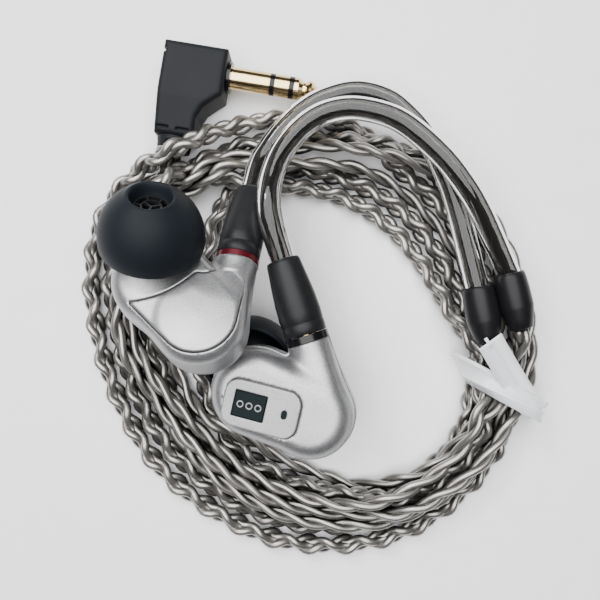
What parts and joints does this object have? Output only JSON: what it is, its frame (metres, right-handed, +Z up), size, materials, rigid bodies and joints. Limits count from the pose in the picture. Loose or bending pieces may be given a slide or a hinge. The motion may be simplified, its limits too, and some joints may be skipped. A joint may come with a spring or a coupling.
{
  "type": "in-ear monitors",
  "caption": "Wired in-ear monitors with angled nozzles and silicone tips, formed ear hooks, coaxial swivel connectors and a coiled braided cable ending in a right-angle 3.5 mm plug.",
  "frame": {"origin": "centre of the base of the earpieces, hooks and sleeves, on the surface they lie on", "axes": "+Z up from that surface; the hooks' arch points to +Y, the cable's hook sleeves lie to +X, the right earpiece to -X"},
  "size_m": [0.0744, 0.083, 0.0294],
  "materials": {
    "plug_matte": "fine matte",
    "black_gloss": "glossy",
    "gold": "polished gold plating",
    "cable_silver": "clear jacket over silver-grey wire",
    "sleeve_black": "satin black",
    "tie_white": "translucent white",
    "hook_smoke": "smoked clear tube",
    "hook_dark": "dark wire",
    "boot_black": "satin black",
    "steel": "bright",
    "shell_silver": "fine blasted",
    "badge_silver": "fine blasted",
    "tile_black": "gloss inlay",
    "mesh_black": "fine mesh",
    "driver_grey": "moulded",
    "copper": "enamelled wire",
    "silicone_blue": "satin silicone",
    "silicone_black": "silicone",
    "collar_red": "satin red"
  },
  "bodies": {
    "cable": {"plug_body": "plug_matte", "plug_strain_relief": "plug_matte", "plug_flange": "black_gloss", "plug_sleeve_contact": "gold", "plug_ring_contact": "gold", "plug_tip_contact": "gold", "plug_insulators": "black_gloss", "cable_coil": "cable_silver", "cable_plug_lead": "cable_silver", "cable_main_lead": "cable_silver", "cable_split_left": "cable_silver", "cable_split_right": "cable_silver", "cable_branch_left": "cable_silver", "cable_branch_right": "cable_silver", "y_splitter": "sleeve_black", "tie_strap": "tie_white", "tie_wire": "tie_white", "hook_tube_right": "hook_smoke", "hook_core_right": "hook_dark", "hook_sleeve_right": "sleeve_black", "boot_right": "boot_black", "barrel_right": "gold", "pin_right": "gold", "hook_tube_left": "hook_smoke", "hook_core_left": "hook_dark", "hook_sleeve_left": "sleeve_black", "boot_left": "boot_black", "barrel_left": "gold", "pin_left": "gold"},
    "ear_tip_right": {"ear_tip_right": "silicone_blue", "tip_grid_right": "silicone_black"},
    "snap_ring_right": {"snap_ring_right": "steel"},
    "earpiece_right": {"collar_right": "collar_red", "socket_right": "gold", "shell_outer_right": "shell_silver", "shell_inner_right": "shell_silver", "panel_right": "shell_silver", "badge_right": "badge_silver", "badge_tile_right": "tile_black", "nozzle_right": "shell_silver", "nozzle_filter_right": "mesh_black", "driver_frame_right": "driver_grey", "driver_magnet_right": "steel", "driver_coil_right": "copper"},
    "ear_tip_left": {"ear_tip_left": "silicone_blue", "tip_grid_left": "silicone_black"},
    "snap_ring_left": {"snap_ring_left": "steel"},
    "earpiece_left": {"collar_left": "black_gloss", "socket_left": "gold", "shell_outer_left": "shell_silver", "shell_inner_left": "shell_silver", "panel_left": "shell_silver", "badge_left": "badge_silver", "badge_tile_left": "tile_black", "nozzle_left": "shell_silver", "nozzle_filter_left": "mesh_black", "driver_frame_left": "driver_grey", "driver_magnet_left": "steel", "driver_coil_left": "copper"}
  },
  "joints": [
    {"name": "swivel_right", "type": "hinge", "parent": "cable", "child": "snap_ring_right", "pos_m": [-0.0133, -0.0011, 0.0168], "axis": [0.1555, 0.9002, -0.4067], "range_deg": [-12, 12]},
    {"name": "unplug_right", "type": "slide", "parent": "snap_ring_right", "child": "earpiece_right", "axis": [-0.1555, -0.9002, 0.4067], "range_m": [0, 0.0042]},
    {"name": "tip_pull_right", "type": "slide", "parent": "earpiece_right", "child": "ear_tip_right", "axis": [0.1276, 0.7201, 0.682], "range_m": [0, 0.006]},
    {"name": "swivel_left", "type": "hinge", "parent": "cable", "child": "snap_ring_left", "pos_m": [-0.003, -0.0122, 0.01565], "axis": [-0.3023, 0.953, -0.0175], "range_deg": [-6, 4]},
    {"name": "unplug_left", "type": "slide", "parent": "snap_ring_left", "child": "earpiece_left", "axis": [0.3023, -0.953, 0.0175], "range_m": [0, 0.0045]},
    {"name": "tip_pull_left", "type": "slide", "parent": "earpiece_left", "child": "ear_tip_left", "axis": [0.1137, 0.4296, -0.8958], "range_m": [0, 0.006]}
  ]
}
